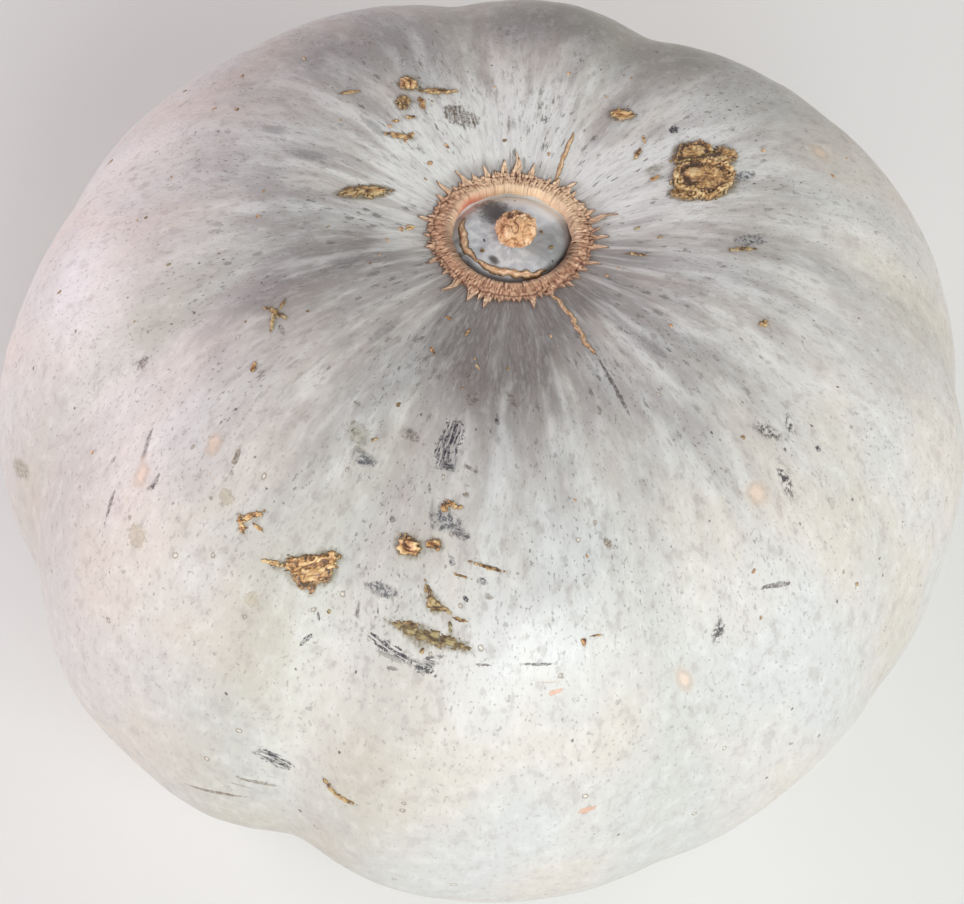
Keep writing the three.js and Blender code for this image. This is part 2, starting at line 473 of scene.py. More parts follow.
markKinds = {
    # colour, strength, softness of the edge, how far it breaks into lines and into specks
    "scratch": (colour(44, 44, 56), 1, 0.25, 1, 0.5),
    "smudge": (colour(98, 102, 110), 0.85, 0.6, 0.2, 0.7),
    "specks": (colour(92, 88, 88), 0.95, 0.9, 0.1, 1),
    "ink": (colour(44, 44, 52), 0.97, 0.3, 0.2, 0.6),
    "blot": (colour(142, 134, 126), 0.8, 0.35, 0.1, 0.6),
    "brown": (colour(126, 108, 84), 0.8, 0.4, 0.3, 0.4),
    "line": (colour(98, 90, 88), 0.85, 0.3, 0.1, 0.4),
    "bark": (colour(92, 72, 52), 0.9, 0.4, 0.8, 0.4),
    "olive": (colour(136, 130, 104), 0.6, 0.8, 0.1, 0.4),
    "beige": (colour(190, 180, 160), 0.75, 0.3, 0, 0.2),
    "peach": (colour(232, 204, 180), 0.6, 0.9, 0, 0),
    "shade": (colour(142, 138, 142), 0.6, 0.9, 0.3, 0.2),
    # a painted shadow, for the disc
    "paintedShadow": (colour(86, 79, 79), 0.95, 0.8, 0, 0),
    "orange": (colour(226, 168, 132), 0.7, 0.5, 0.1, 0.1),
}
# Marks in the skin: a kind, a bearing, a distance from the blossom end, a length, a width, and
# a turn in degrees, where 0 runs away from the blossom end and 90 runs around the fruit.
skinMarks = (
    ("scratch", 263, 63, 12.5, 5, 179),
    ("ink", 264, 68.5, 3.6, 2.6, 80),
    ("smudge", 265.5, 80.5, 8.5, 6, 70),
    ("ink", 268, 82.5, 3.6, 3, 94),
    ("smudge", 259, 99, 8, 3.4, 100),
    ("ink", 260, 98.5, 2.2, 2, 106),
    ("scratch", 261.5, 110.5, 11.5, 2.6, 81),
    ("ink", 266, 112, 4.6, 3, 101),
    ("scratch", 267, 109.5, 5, 1.5, 117),
    ("ink", 272, 91.5, 2.4, 1.8, 95),
    ("line", 279.5, 108.5, 7, 0.7, 88),
    ("line", 256.5, 105.5, 4, 0.9, 7),
    ("scratch", 251.5, 152, 9, 4, 72),
    ("brown", 250, 162, 8.7, 1.4, 92),
    ("brown", 245.5, 171.5, 15, 1.4, 109),
    ("line", 312.5, 109.5, 8.4, 1.3, 68),
    ("beige", 227.5, 115.5, 5.6, 4.6, 115),
    ("line", 221.5, 117.5, 7, 1.2, 25),
    ("line", 220, 102, 9.4, 1.4, 39),
    ("olive", 202.5, 151, 12, 6, 131),
    ("peach", 315.5, 89, 8, 7, 40),
    ("peach", 30.5, 84, 8.5, 7, 5),
    ("specks", 324, 80.5, 10, 4, 30),
    ("specks", 328.5, 83.5, 6.4, 3.4, 150),
    ("specks", 321, 91, 11, 4, 165),
    ("ink", 329.5, 92.5, 1.8, 1.4, 20),
    ("ink", 251.5, 116.5, 3.8, 1.3, 155),
    ("brown", 290, 85.5, 3, 1.6, 25),
    ("orange", 281.5, 115, 3.4, 1.2, 100),
    ("orange", 285.5, 148, 5, 2, 95),
    ("peach", 297.5, 121, 9, 5, 20),
    ("beige", 234.5, 95, 4, 3.4, 40),
    ("brown", 232, 87, 4.6, 1.4, 20),
    ("peach", 228, 88.5, 7, 5, 20),
    ("specks", 303, 113, 7, 3.4, 150),
    ("shade", 161, 64, 9, 3.4, 5),
    ("shade", 166, 52, 13, 4.6, 8),
    ("shade", 205, 40, 12, 3.2, 0),
    ("shade", 235, 43, 13, 3.2, 0),
    ("shade", 318, 47, 12, 4, 0),
    ("line", 259, 103, 2.8, 0.5, 16),
    ("line", 273, 109, 3.2, 0.5, 92),
    ("line", 262.5, 114.5, 3, 0.9, 102),
    ("ink", 270, 95.5, 1.6, 1, 46),
    ("brown", 273, 94.5, 1.8, 1.6, 93),
    ("brown", 268, 74, 1.5, 1.4, 99),
    ("ink", 262, 75.5, 3.6, 0.7, 19),
    ("smudge", 257.5, 84, 1.8, 1.6, 104),
    ("beige", 244, 111.5, 3.6, 3.6, 116),
    ("line", 252, 110.5, 2.4, 0.6, 27),
    ("smudge", 267.5, 88.5, 1.6, 1.7, 99),
    # painted shadows on the disc beside the style
    ("paintedShadow", 124, 8.5, 12, 9, 10),
    ("paintedShadow", 246, 8, 3.6, 2.4, 60),
    ("ink", 200, 6.5, 1.4, 0.6, 90),
    ("ink", 92, 11.5, 0.8, 0.6, 0),
    ("ink", 332, 11.5, 0.9, 0.6, 0),
    ("blot", 255, 64.5, 4.6, 2.8, 67),
    ("blot", 263, 44, 4.4, 3, 10),
    ("blot", 265.5, 50.5, 5, 3, 5),
    ("blot", 272.5, 46, 1.8, 1.4, 40),
    ("blot", 275.5, 50, 4.4, 1.8, 30),
    ("blot", 243, 62.5, 2.2, 1.8, 30),
    ("blot", 219.5, 61, 3, 1.4, 80),
    ("blot", 207.5, 96, 4.4, 2.6, 30),
    ("blot", 217, 111.5, 1.6, 1.4, 0),
    ("olive", 246, 68.5, 8, 6, 60),
    ("ink", 272, 56, 1.8, 0.9, 30),
    ("smudge", 249.5, 73.5, 6, 3, 90),
    ("blot", 268, 68, 3, 1, 70),
    ("peach", 222.5, 106, 8, 6, 30),
    ("ink", 225, 104.5, 4.6, 1.6, 10),
    ("bark", 117.5, 38, 6.6, 6.4, 170),
    ("bark", 113.5, 35.5, 6, 4.8, 175),
    ("ink", 46, 50, 3.2, 2.4, 40),
    ("smudge", 5, 56, 9, 4, 12),
    ("line", 302, 50.5, 19, 0.9, 178),
    ("olive", 36.5, 38.5, 7, 2.6, 2),
    ("smudge", 25, 58, 6, 3, 10),
    ("shade", 146, 44, 10, 3, 178),
)

# Raised cork: a bearing, distance, length, width and turn as above, then the height, how pointed
# the ends are, and the tone, where 0 is golden, 1 is olive brown and 2 is tan.
corkScars = (
    (26.5, 48, 16, 12, 169, 1.6, 0.1, 0.25),
    (36, 49, 10.6, 7.6, 172, 1.3, 0.2, 0.3),
    (31.5, 54.5, 8.6, 6.4, 16, 1.3, 0.2, 0.3),
    (30, 50.5, 7, 5, 60, 1, 0.2, 0.4),
    (22.5, 41.5, 7.4, 3.8, 150, 0.6, 0.6, 0.4),
    (21, 44.5, 13, 1.8, 169, 0.8, 0.6, 0.3),
    (60.5, 45.5, 6, 4.2, 122, 0.8, 0.3, 0.1),
    (126.5, 51, 5, 5.4, 26, 1.1, 0.1, 0),
    (120, 46, 10.4, 2.3, 73, 0.8, 0.6, 0.4),
    (127, 43.5, 5, 2.2, 166, 0.5, 0.7, 0.2),
    (132, 46, 5, 4, 146, 0.7, 0.4, 0.5),
    (142.5, 38, 8, 2.2, 40, 0.5, 0.8, 0.3),
    (139, 36.5, 4.4, 1.6, 100, 0.5, 0.8, 0.3),
    (133.5, 41, 3.4, 1.6, 60, 0.5, 0.8, 0.2),
    (139, 42, 2.4, 1.2, 60, 0.4, 0.8, 0.3),
    (173, 35.5, 13.4, 4.2, 29, 0.7, 0.6, 0.5),
    (170.5, 32.5, 3.4, 1.7, 30, 1, 0.5, 0),
    (141.5, 56.5, 6, 1.8, 62, 0.5, 0.9, 0.4),
    (214.5, 60.5, 8.6, 1.9, 122, 0.5, 0.9, 0.6),
    (216.5, 62, 6.4, 1.5, 60, 0.5, 0.9, 0.6),
    (213.5, 58, 3.4, 1.1, 40, 0.4, 0.9, 0.6),
    (1, 53.5, 9.4, 1.6, 17, 0.5, 0.9, 0.7),
    (33, 37, 4.2, 1.4, 8, 0.5, 0.8, 0.2),
    (45.5, 38, 4.8, 1.5, 22, 0.5, 0.8, 0.2),
    (48.5, 42, 2.4, 1, 60, 0.4, 0.8, 0.5),
    (239, 95, 7, 1.9, 140, 0.6, 0.7, 0.1),
    (238.5, 98, 5.2, 2, 47, 0.6, 0.6, 0.1),
    (240.5, 96.5, 4.4, 1.2, 79, 0.4, 0.8, 0.3),
    (249.5, 101.5, 9.4, 6.4, 112, 0.8, 0.3, 0.2),
    (248.5, 99, 14, 4, 118, 1, 0.5, 0.1),
    (251, 97.5, 5, 3.2, 15, 1, 0.3, 0),
    (250, 104.5, 4, 2.2, 20, 0.6, 0.7, 0.2),
    (244.5, 102, 6.4, 1.6, 98, 0.5, 0.8, 0.3),
    (261, 88, 5.8, 4.8, 102, 1.3, 0, 0),
    (264.5, 86, 3.8, 2.8, 89, 0.9, 0.1, 0.1),
    (265, 77.5, 2.8, 2.4, 30, 0.7, 0.3, 0.3),
    (266, 76.5, 3, 1.4, 70, 0.6, 0.5, 0.2),
    (267, 77, 2.4, 1.1, 110, 0.4, 0.7, 0.3),
    (266, 105, 20, 3.6, 87, 0.6, 0.9, 0.9),
    (263.5, 103.5, 4, 1.6, 100, 0.4, 0.7, 0.6),
    (265, 95.5, 5.2, 1.7, 31, 0.5, 0.8, 0.7),
    (266, 98, 4.4, 3.4, 60, 0.5, 0.6, 0.7),
    (267.5, 98.5, 4.4, 1.3, 62, 0.5, 0.8, 0.6),
    (269.5, 100, 4.2, 1.1, 84, 0.5, 0.8, 0.5),
    (268.5, 102, 3, 1.6, 11, 0.4, 0.8, 1),
    (265.5, 108.5, 2, 1.6, 103, 0.4, 0.6, 0.6),
    (272.5, 88.5, 9.6, 1.2, 78, 0.5, 0.9, 0.5),
    (269, 91, 5.6, 0.8, 82, 0.3, 0.9, 0.6),
    (285, 105, 2.4, 1.6, 20, 0.6, 0.3, 0),
    (286.5, 104, 3, 0.7, 84, 0.4, 0.9, 0.4),
    (258, 152, 5.4, 1.7, 50, 0.6, 0.7, 0.5),
    (260, 153.5, 7, 1.7, 92, 0.6, 0.7, 0.5),
    (250.5, 41, 3.4, 1, 40, 0.5, 0.9, 0),
    (248, 30, 2.6, 1, 90, 0.5, 0.8, 0),
    (354.5, 29.5, 7, 1, 2, 0.4, 1, 0.3),
    (187, 23.5, 3.2, 1.2, 30, 0.4, 0.9, 0.2),
    (342, 64, 3.2, 2.2, 60, 0.5, 0.1, 0.5),
    (223, 71, 2.6, 1.6, 30, 0.5, 0.3, 0.1),
    (257.5, 32, 2.8, 1, 170, 0.5, 0.8, 0.1),
    (219.5, 8, 1.5, 1.2, 30, 0.4, 0.2, 0.5),
    (350, 9.5, 1.3, 1.1, 60, 0.3, 0.2, 0.9),
    (22, 7, 1, 1.3, 10, 0.5, 0.2, 0),
)
# Small flakes of cork strewn over the crown and the upper flank.
strewnFlakes = {"count": 70, "nearest": 24, "farthest": 125, "size": (0.9, 2.2), "seed": 71}

# Long narrow ridges of cork: bearing and distance along their course, then width, height
# and tone.
corkSeams = (
    (((303.5, 18.5), (304, 24), (304, 29.5), (302, 35), (302, 38.5), (302.5, 42)),
     1.7, 0.5, 1.8),
    (((64, 19), (66.5, 22.5), (68.5, 26), (69.5, 30), (70.5, 35)), 1.5, 0.5, 1.8),
    (((158, 12.5), (178, 11.5), (200, 11), (217, 11), (235, 10.5)), 2.3, 1, 2),
    (((224, 11), (240, 10.5), (256, 10.5), (276, 10.5), (296, 11.5), (308, 12),
      (320, 12)), 2.4, 1.1, 2),
)


# Wide soft patches of painted light and shade on the skin: bearing, distance, length outward,
# width around, and how much painted light (above 0) or painted shade (below 0) they add.
paintedShadingPatches = (
    (282, 31, 26, 28, -0.7), (268, 25, 20, 18, -1.6), (270, 30, 26, 18, -0.9), (256, 30, 22, 14, -0.8),
    (262, 50, 34, 18, -0.5), (273, 54, 34, 16, -0.5), (287, 52, 24, 14, -0.6), (270, 86, 34, 16, -0.3),
    (301, 22, 8, 14, -0.7), (316, 25, 12, 14, -0.5), (314, 47, 14, 10, 0.5), (330, 50, 24, 14, -0.4),
    (350, 28, 20, 28, -0.9), (1, 26, 18, 12, -1.6), (350, 94, 30, 20, -0.5), (2, 70, 44, 18, -0.5),
    (304, 62, 44, 26, -0.3), (324, 74, 40, 24, -0.3), (206, 43, 30, 22, -0.5), (196, 32, 18, 14, -0.7),
    (196, 56, 18, 12, -0.5), (210, 64, 44, 16, -0.8), (182, 52, 24, 14, -0.6), (166, 56, 14, 12, -0.5),
    (225, 25, 14, 22, -0.4), (241, 67, 34, 18, -0.7), (60, 43, 22, 13, -2.4), (105, 21, 6, 12, -1.1),
    (134, 21, 6, 12, -1.3), (62, 78, 34, 18, -1), (84, 84, 34, 44, -1.1), (100, 72, 28, 34, -0.4),
    (121, 58, 36, 16, -0.8), (136, 68, 26, 16, -0.8), (132, 86, 34, 50, -0.4), (40, 90, 34, 44, -0.3),
    (2, 110, 40, 40, -0.3), (210, 132, 60, 40, -0.2), (36, 30, 28, 32, 2.1), (30, 23, 12, 26, 1.2),
    (30, 57, 28, 14, 0.9), (240, 30, 14, 10, 0.6), (179, 30, 24, 10, 0.9), (152, 26, 20, 18, 1.6),
    (124, 34, 20, 20, 1.4), (92, 32, 28, 44, 1.8), (44, 62, 28, 32, 0.8), (5, 45, 20, 12, 0.9),
    (168, 104, 44, 26, 1.3), (292, 60, 44, 8, 0.4), (254, 132, 50, 16, 1.3), (272, 112, 34, 30, 0.6),
)


# The rind

rindLook = {
    "bearings": 480,
    "base": colour(208, 206, 202),
    "pale": colour(248, 249, 247),
    "dull": colour(172, 165, 164),
    # bare: the colour of the deepest painted shade
    "bare": colour(112, 107, 105),
    "grooveShade": colour(184, 182, 168),
    "cool": colour(203, 206, 206),
    "warm": colour(213, 206, 196),
    "fleck": colour(116, 113, 108),
    "blot": colour(150, 140, 128),
    "spot": colour(84, 76, 70),
    "poreTop": colour(232, 222, 208),
    "ink": colour(46, 42, 46),
    "stain": colour(112, 100, 70),
    "discDull": colour(200, 202, 206),
    "discPale": colour(230, 233, 235),
    "discPaintedShade": colour(72, 62, 60),
    "discPaintedLight": (0.97, 0.97, 0.97, 1),
    "shadeAroundRing": colour(126, 112, 104),
    "poreCell": 5.6,  # at most one pore or pinprick in each
    "roughness": 0.4,
}


# Millimetres along and across a mark, and how far outside it, for points of the skin.
def placeInMark(bearing, distance, mark):
    markBearing, markDistance, length, width, turn = mark
    radius, apex = touchingCone(markDistance)
    away = np.angle(np.exp(1j * (bearing - math.radians(markBearing))))
    away = away * radius / apex
    reach = apex + distance - markDistance
    out = reach * np.cos(away) - apex
    east = reach * np.sin(away)
    tilt = math.radians(turn)
    along = out * math.cos(tilt) + east * math.sin(tilt)
    across = east * math.cos(tilt) - out * math.sin(tilt)
    beyond = np.maximum(np.abs(along) - length / 2, np.abs(across) - width / 2)
    return along, across, np.where(np.abs(away) < 1.4, beyond, np.inf)


# For every point of the skin, its place in the nearest mark and how that is painted. The
# strength is 0 well outside it, and where two marks are equally near.
markReach = 12  # millimetres, beyond which no mark is looked for
markMargin = 2.4
sharedMargin = 2
placeStep = 7  # keeps the noise of one mark apart from the next


def nearestMark(bearing, distance):
    place = np.zeros((bearing.size, 3))
    shape = np.ones((bearing.size, 3))
    tint = np.ones((bearing.size, 4))
    strength = np.zeros(bearing.size)
    broken = np.zeros(bearing.size)
    nearest = np.full(bearing.size, float(markReach))
    second = nearest.copy()
    for seed, (kind, *mark) in enumerate(skinMarks):
        along, across, beyond = placeInMark(bearing, distance, mark)
        chosen = beyond < nearest
        second = np.where(chosen, nearest, np.minimum(second, beyond))
        nearest = np.where(chosen, beyond, nearest)
        paint, full, softness, lines, specks = markKinds[kind]
        place[chosen] = np.stack([along, across, 0 * along + placeStep * seed], -1)[chosen]
        shape[chosen] = (mark[2] / 2, mark[3] / 2, softness)
        tint[chosen] = (*paint[:3], lines)
        strength[chosen] = full
        broken[chosen] = specks
    contested = (second - nearest < sharedMargin) & (nearest > 0)
    strength[(nearest > markMargin) | contested] = 0
    return place, shape, tint, strength, broken


# 0 on the back of a rib and 1 in the bottom of a deep groove.
def grooveShare(bearing, distance):
    polar = polarAt(distance)
    depth = grooveDepth(bearing, np.sin(polar), polar < math.pi / 2)
    return ramp(depth, 0.5, 5)


# painted light and shade at each point, from the patches
def paintedShadingAround(bearing, distance):
    tone = np.zeros(bearing.size)
    for *mark, amount in paintedShadingPatches:
        along, across, _ = placeInMark(bearing, distance, (*mark, 0))
        tone += amount * np.exp(-(along * 1.6 / mark[2]) ** 2 - (across * 1.6 / mark[3]) ** 2)
    return tone


# How stained the skin is around the raised cork.
def stainAround(bearing, distance):
    stain = np.zeros(bearing.size)
    for mark in corkScars:
        along, across, beyond = placeInMark(bearing, distance, mark[:5])
        length, width = mark[2:4]
        reach = np.hypot(along / length, across / width) * 2
        outside = (reach - 1) * (length + width) / 4
        shade = (1 - ramp(outside, -0.5, 2.0)) * min(1, 0.5 + width / 8)
        stain = np.maximum(stain, np.where(beyond < 4, shade, 0))
    return stain


def buildRind():
    rows = np.concatenate([
        np.arange(0.8, 30, 0.8), np.arange(30, 190, 1.7), np.arange(190, skinLength - 0.6, 3.2)])
    bearings = fullTurn(rindLook["bearings"])
    bearing, distance = np.meshgrid(bearings, rows)
    points = skin(bearing, distance).reshape(-1, 3)
    tips = np.stack([skin(0, 0.0), skin(0, skinLength)])
    vertices = np.concatenate([points, tips])
    faces = gridFaces(len(rows), len(bearings))
    top, bottom, last = len(points), len(points) + 1, len(points) - len(bearings)
    for i in range(len(bearings)):
        j = (i + 1) % len(bearings)
        faces.append((top, i, j))
        faces.append((bottom, last + j, last + i))
    piece = newPiece("rind", vertices, faces)
    way = onCircle(bearing, 1, 0 * bearing).reshape(-1, 3)
    bearing = np.append(bearing.ravel(), [0, 0])
    distance = np.append(distance.ravel(), [0, skinLength])
    place, shape, tint, strength, broken = nearestMark(bearing, distance)
    keepOnPoints(
        piece,
        distance=distance,
        bearingWay=np.append(way, np.zeros((2, 3)), 0),
        markPlace=place,
        markShape=shape,
        markTint=tint,
        markStrength=strength,
        markBroken=broken,
        stain=stainAround(bearing, distance),
        tone=paintedShadingAround(bearing, distance),
        groove=grooveShare(bearing, distance),
    )
    piece.data.materials.append(rindMaterial())
    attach(piece, "root")
    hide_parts("fruit")


def rindMaterial():
    look = rindLook
    shader = Shader("waxyRind")
    distance = shader.onPoints("distance")
    way = shader.onPoints("bearingWay", "Vector")

    # millimetres over the skin: true to size where the fruit is `radius` from its axis, and
    # drawn out away from the blossom end by `stretch`
    def place(radius, stretch=1):
        upright = shader.add("ShaderNodeCombineXYZ", {}, {"Z": distance / stretch})
        return shader.vector("ADD", shader.vector("SCALE", way, float(radius)), upright)

    # frays the edges of spots, and gives the finest flecks
    ragged = shader.noise(place(100, 1.5), 0.8, 1)
    ragged = shader.vector("SUBTRACT", ragged.other("Color"), (0.5, 0.5, 0.5))

    # scattered spots, at most one in each cell and kept in a share of the cells
    def spots(where, cell, size, share):
        where = shader.vector("ADD", where, shader.vector("SCALE", ragged, size * 2.4))
        inputs = {"Vector": where, "Scale": 1 / cell}
        reach = shader.add("ShaderNodeTexVoronoi", {}, inputs)
        lot = shader.channel(reach.other(1), "Red")
        own = shader.channel(reach.other(1), "Green") * 0.7 + 0.48
        spot = (reach * cell / own).between(size, size * 0.5)
        return spot * lot.between(share + 0.02, share - 0.02)

    crown = distance.between(120, 40) * distance.between(17, 21)
    nearRing = distance.between(62, 34)
    flank = distance.between(70, 110)

    # wide tints, painted light and shade, then radial streaks on the crown
    tints = shader.noise(place(118, 1.3), 30, 2)
    base = shader.blend(tints.between(0.5, 0.64) * 0.7, look["base"], look["warm"])
    base = base.coated(tints.between(0.5, 0.38) * 0.6, look["cool"])
    broad = shader.noise(place(40, 6), 3.4, 2, 0.5)
    # painted light (pale) and painted shade (bare) from the patches, with the random tone of broad
    # streaks on the crown
    tone = shader.onPoints("tone") + (broad - 0.5) * 0.9 * crown
    base = base.coated(tone.between(0.02, 1.6) * 0.9, look["pale"])
    base = base.coated(tone.between(-0.02, -1.6), look["bare"])
    # painted shade: the whole crown a little darker
    base = base.coated(crown * 0.16, look["dull"])
    varied = crown * (0.35 + 0.65 * tone.absolute().between(1.8, 0.6))
    base = base.coated(broad.between(0.5, 0.68) * varied * 0.42, look["pale"])
    base = base.coated(broad.between(0.51, 0.34) * varied * 0.6, look["dull"])
    streaks = shader.noise(place(60, 5), 1.6, 2, 0.6)
    base = base.coated(streaks.between(0.5, 0.7) * crown * 0.12, look["pale"])
    base = base.coated(streaks.between(0.5, 0.3) * crown * 0.26, look["dull"])
    # painted shade on the skin just around the scar ring, broken into streaks
    beside = distance.between(25, 18.5) * streaks.between(0.3, 0.55)
    base = base.coated(beside * 0.6, look["shadeAroundRing"])
    # painted shade in the grooves
    grooveShade = shader.onPoints("groove") * (0.5 + tints)
    base = base.coated(grooveShade * 0.5, look["grooveShade"])

    # mottling and grain of the flanks
    mottle = shader.noise(place(120, 1.2), 3.6, 2, 0.6)
    base = base.coated(mottle.between(0.54, 0.68) * 0.3, look["dull"])
    base = base.coated(mottle.between(0.5, 0.3) * 0.16, look["pale"])
    grain = shader.noise(place(110, 2.2), 0.9, 2, 0.7)
    base = base.coated(grain.between(0.54, 0.74) * 0.45, look["dull"])

    # flecks drawn out on the crown, rounder further down
    clumps = (broad * 0.6 + tints * 0.6).between(0.64, 0.52)
    flecks = spots(place(24, 3.0), 1.2, 0.5, 0.5) * nearRing
    flecks = flecks.largest(spots(place(56, 2.4), 1.8, 0.6, 0.5) * crown)
    fine = shader.channel(ragged, "X").between(0.14, 0.21) * distance.between(30, 45)
    flecks = flecks.largest(fine * distance.between(130, 90) * 0.8) * (0.4 + 0.6 * clumps)
    dots = shader.channel(ragged, "Y").between(0.15, 0.22) * flank * distance.between(190, 120)
    soft = mottle.between(0.56, 0.78) * distance.between(25, 45) * distance.between(160, 90)
    base = base.coated(soft * 0.3, look["blot"])
    base = base.coated(flecks * 0.85, look["fleck"])
    base = base.coated(dots * 0.42, look["fleck"])

    # brown pinpricks, and pores with a pale top and a grey outline
    wobbly = shader.vector("ADD", place(104, 1.1), shader.vector("SCALE", ragged, 0.8))
    pore = shader.add("ShaderNodeTexVoronoi", {}, {"Vector": wobbly, "Scale": 1 / look["poreCell"]})
    lot = shader.channel(pore.other(1), "Red")
    span = pore * look["poreCell"]
    chosen = lot.between(0.8, 0.82) * distance.between(24, 34)
    base = base.coated(span.between(0.46, 0.3) * chosen * 0.6, look["poreTop"])
    outline = span.between(0.8, 0.62) * span.between(0.34, 0.48)
    base = base.coated(outline * chosen * 0.8, look["blot"])
    pinpricks = span.between(0.5, 0.25) * lot.between(0.38, 0.36) * distance.between(34, 60)
    base = base.coated(pinpricks * 0.9, look["spot"])

    # the disc inside the scar ring: bluish and mottled, with painted light over its rear and painted
    # shade over its front rim and right side
    onDisc = distance.between(14.9, 14.3)
    mottling = shader.noise(place(9), 2.2, 2)
    disc = shader.blend(mottling.between(0.38, 0.66), look["discDull"], look["discPale"])
    behind = shader.channel(way, "Y")
    rear = behind.between(0.3, 0.75) * distance.between(8, 11)
    disc = disc.coated(rear, look["discPaintedLight"])
    shaded = distance.between(10.6, 12.4) * (behind + mottling - 0.5).between(-0.15, -0.6)
    disc = disc.coated(shaded * 0.92, look["discPaintedShade"])
    grey = (shader.channel(way, "X") + mottling - 0.5).between(0.6, 0.95)
    disc = disc.coated(grey * behind.between(0.75, 0.4) * 0.5, look["discPaintedShade"])
    base = base.coated(onDisc, disc)

    # stained skin around the raised cork
    stain = shader.onPoints("stain") * (0.35 + 1.1 * grain) - 0.15
    base = base.coated(stain.between(0.15, 0.9) * 0.85, look["stain"])

    # marks, from their places and sizes on the points
    markPlace = shader.onPoints("markPlace", "Vector")
    markShape = shader.onPoints("markShape", "Vector")
    fromMiddle = shader.vector("DIVIDE", markPlace, markShape)
    flat = shader.vector("MULTIPLY", fromMiddle, (1, 1, 0))
    outward = shader.vector("LENGTH", flat, (0, 0, 0)).other(1)
    frayed = shader.noise(markPlace, 1.3, 3, 0.75) - 0.5
    thread = shader.vector("MULTIPLY", markPlace, (0.14, 1, 1))
    speckle = shader.noise(markPlace, 1.1, 2, 0.8)
    lines = shader.noise(thread, 0.6, 2).between(0.4, 0.54)
    lines = 1 - (1 - lines) * shader.onPoints("markTint", "Alpha")
    softness = shader.channel(markShape, "Z")
    mark = (1.1 - outward + frayed * (2.6 - softness * 2)).between(0, softness) * lines
    border = mark * (1 - mark) * 2.0
    broken = shader.onPoints("markBroken")
    mark = mark * shader.onPoints("markStrength") * (1 - broken * speckle.between(0.54, 0.43))
    base = base.coated(mark, shader.onPoints("markTint", "Color"))
    base = base.coated(border * mark, look["spot"])
    dense = broken * speckle.between(0.52, 0.62)
    base = base.coated(dense * mark, look["ink"])

    roughness = look["roughness"] + (tints - 0.5) * 0.2 + mark * 0.2 + crown * 0.1
    return shader.finish(
        Base_Color=base, Roughness=roughness, Normal=shader.bump(grain * 0.08, 0.7))


# The corky ring around the scar, with its spikes

ringLook = {
    "bearings": 1440,
    "rows": 46,
    "foot": 14.1,
    "crest": 0.9,  # width of the inner wall
    "middle": 16,
    "outer": 19,
    "rise": 1,
    # bearing, length, width of the bigger spikes
    "spikes": (
        (358, 4, 1.3), (6, 3.8, 1.3), (13, 2.2, 1.3), (22, 6.6, 1.7), (29, 2.2, 1.8),
        (343, 3.8, 1.4), (336, 1.8, 1.6), (54, 3.6, 1.8), (63, 2.2, 1.6), (82, 4, 2),
        (93, 6.8, 2.6), (101, 4.4, 2.2), (107, 1.8, 1.8), (114, 3.4, 1.8), (124, 2, 1.6),
        (132, 4.2, 1.9), (147, 4.4, 1.8), (156, 2.2, 1.6), (177, 3.4, 1.5), (191, 1.8, 1.4),
        (201, 1.9, 1.4), (213, 3.4, 1.6), (225, 1.8, 1.4), (236, 5.6, 1.9), (249, 4.4, 3),
        (255, 2.6, 2), (260, 4.4, 2.4), (267, 1.8, 1.8), (280, 1.3, 1.8), (289, 3.9, 2.3),
        (303, 2, 2), (318, 2.4, 1.4), (327, 1.6, 1.6),
    ),
    "dark": colour(84, 52, 38),
    "brown": colour(164, 120, 94),
    "tan": colour(208, 164, 134),
    "gold": colour(242, 210, 178),
    # pale is painted light on the ring's far side
    "pale": colour(250, 220, 184),
    "red": colour(196, 92, 66),
}


def ringOutline(bearing):
    look = ringLook
    way = onCircle(bearing, look["outer"])
    edge = look["outer"] + 0.3 * ripples(way, 6, 31) + 0.16 * ripples(way, 1.1, 32)
    draw = np.random.default_rng(33)
    small = [(place, draw.uniform(0.3, 1.6), draw.uniform(0.7, 1.4))
             for place in np.arange(0, 360, 5.3) + draw.uniform(-2, 2, 68)]
    for place, length, width in (*look["spikes"], *small):
        away = np.abs(np.angle(np.exp(1j * (bearing - math.radians(place))))) * look["outer"]
        share = np.clip(1 - 2 * away / width, 0, 1)
        edge = np.maximum(edge, look["outer"] + length * share ** 1.2)
    return edge


